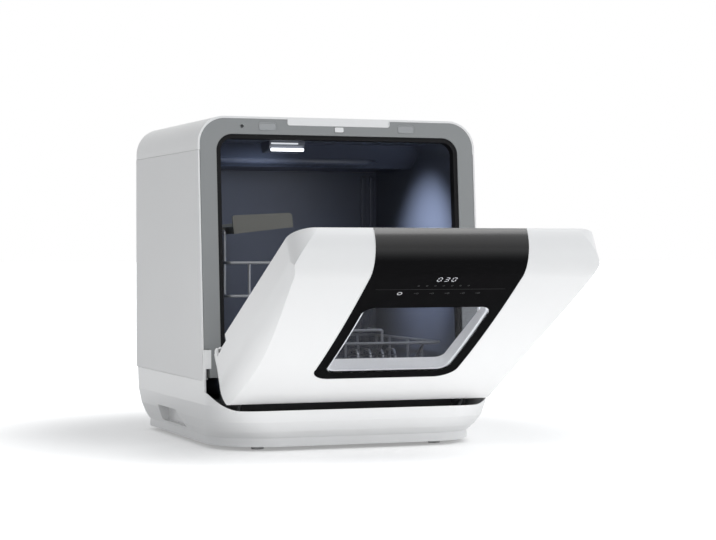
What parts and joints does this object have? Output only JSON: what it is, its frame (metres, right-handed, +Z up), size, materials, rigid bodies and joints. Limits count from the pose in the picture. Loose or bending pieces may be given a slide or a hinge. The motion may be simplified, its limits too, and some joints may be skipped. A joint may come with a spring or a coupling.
{
  "type": "countertop dishwasher",
  "caption": "White countertop dishwasher with a half-open drop-down door, dark glossy control band, window, wire rack, folding cup shelf, spray arm and top fill lid.",
  "frame": {"origin": "centre of the cabinet's footprint on the surface it stands on", "axes": "+Z up, the door faces -Y, +X to the right seen from the front"},
  "size_m": [0.42, 0.779, 0.465],
  "materials": {
    "white_plastic": "gloss",
    "white_paint": "satin",
    "grey_plastic": "satin",
    "pale_grey_plastic": "satin",
    "dark_plastic": "matte",
    "black_rubber": "matte",
    "foot_rubber": "matte",
    "tub_lining": "satin",
    "bright_steel": "satin",
    "pump_metal": "satin",
    "board_green": "satin",
    "lamp_white": "gloss",
    "black_coating": "satin",
    "shelf_plastic": "satin",
    "black_gloss": "gloss",
    "frame_plastic": "gloss",
    "clear_glass": "clear"
  },
  "bodies": {
    "cabinet": {"base_tray": "white_plastic", "catch_left": "pale_grey_plastic", "catch_right": "pale_grey_plastic", "control_board": "board_green", "door_seal": "black_rubber", "drain_outlet": "dark_plastic", "drain_pump": "dark_plastic", "fascia_frame": "grey_plastic", "feet": "foot_rubber", "fill_duct": "pale_grey_plastic", "filter_cup": "pale_grey_plastic", "filter_plate": "bright_steel", "flow_heater": "bright_steel", "front_well": "dark_plastic", "hinge_arm_left": "bright_steel", "hinge_arm_right": "bright_steel", "power_gland": "black_rubber", "rack_rail_left": "pale_grey_plastic", "rack_rail_right": "pale_grey_plastic", "rear_panel": "white_paint", "rear_screws": "bright_steel", "side_panel_left": "white_paint", "side_panel_right": "white_paint", "spray_nut": "dark_plastic", "spray_post": "pale_grey_plastic", "sump": "dark_plastic", "top_cover": "white_plastic", "tub": "tub_lining", "tub_lamp": "lamp_white", "wash_pump": "pump_metal", "water_inlet": "dark_plastic", "water_tank": "pale_grey_plastic"},
    "door": {"door_shell": "white_plastic", "control_panel": "black_gloss", "window_glass": "clear_glass", "window_frame": "frame_plastic", "door_liner": "white_plastic", "inner_window": "clear_glass", "display_board": "board_green", "hinge_block_left": "dark_plastic", "hinge_block_right": "dark_plastic", "hinge_pin_left": "bright_steel", "hinge_pin_right": "bright_steel", "hinge_brake_pads": "black_rubber", "latch_hooks": "pale_grey_plastic"},
    "dish_rack": {"rack": "black_coating", "rack_shoes": "dark_plastic"},
    "shelf": {"cup_shelf": "shelf_plastic"},
    "spray": {"spray_arm": "pale_grey_plastic"},
    "lid": {"fill_lid": "white_plastic"},
    "switch_button": {"door_switch_button": "white_plastic"}
  },
  "joints": [
    {"name": "door_hinge", "type": "hinge", "parent": "cabinet", "child": "door", "pos_m": [0, -0.254, 0.0795], "axis": [1, 0, 0], "range_deg": [-68, 28.5]},
    {"name": "rack_slide", "type": "slide", "parent": "cabinet", "child": "dish_rack", "axis": [0, -1, 0], "range_m": [0, 0.045]},
    {"name": "shelf_fold", "type": "hinge", "parent": "dish_rack", "child": "shelf", "pos_m": [-0.159, 0, 0.304], "axis": [0, -1, 0], "range_deg": [0, 73]},
    {"name": "spray_spin", "type": "hinge", "parent": "cabinet", "child": "spray", "pos_m": [0, 0, 0.09], "axis": [0, 0, 1], "continuous": true},
    {"name": "fill_lid_hinge", "type": "hinge", "parent": "cabinet", "child": "lid", "pos_m": [-0.11, 0.137, 0.4637], "axis": [-1, 0, 0], "range_deg": [0, 95]},
    {"name": "door_switch_press", "type": "slide", "parent": "cabinet", "child": "switch_button", "axis": [0, 0.9973, -0.0737], "range_m": [0, 0.004], "stiffness_N_per_m": 250}
  ]
}
